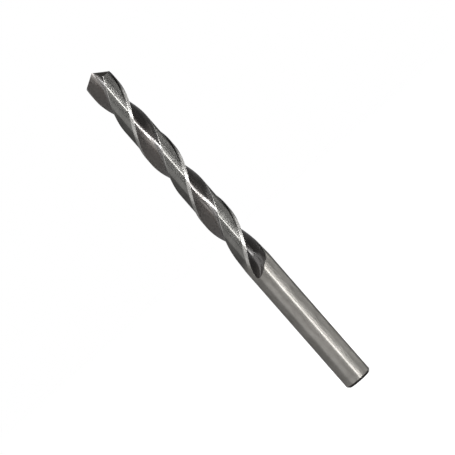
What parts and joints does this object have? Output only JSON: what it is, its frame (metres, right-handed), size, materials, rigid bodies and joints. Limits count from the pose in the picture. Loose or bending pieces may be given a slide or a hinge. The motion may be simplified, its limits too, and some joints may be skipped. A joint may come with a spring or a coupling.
{
  "type": "twist drill bit",
  "caption": "Straight-shank twist drill with spiral flutes, ground margins, relieved lands and a sharpened conical point",
  "frame": {"origin": "centre of the flat shank end", "axes": "+Z along the drill's axis from the shank end to the point; the two cutting lips lie parallel to X"},
  "size_m": [0.0092, 0.0092, 0.125],
  "materials": {
    "ground_steel": "ground and polished high-speed steel"
  },
  "bodies": {
    "root": {"twist_drill_bit": "ground_steel"}
  },
  "joints": []
}
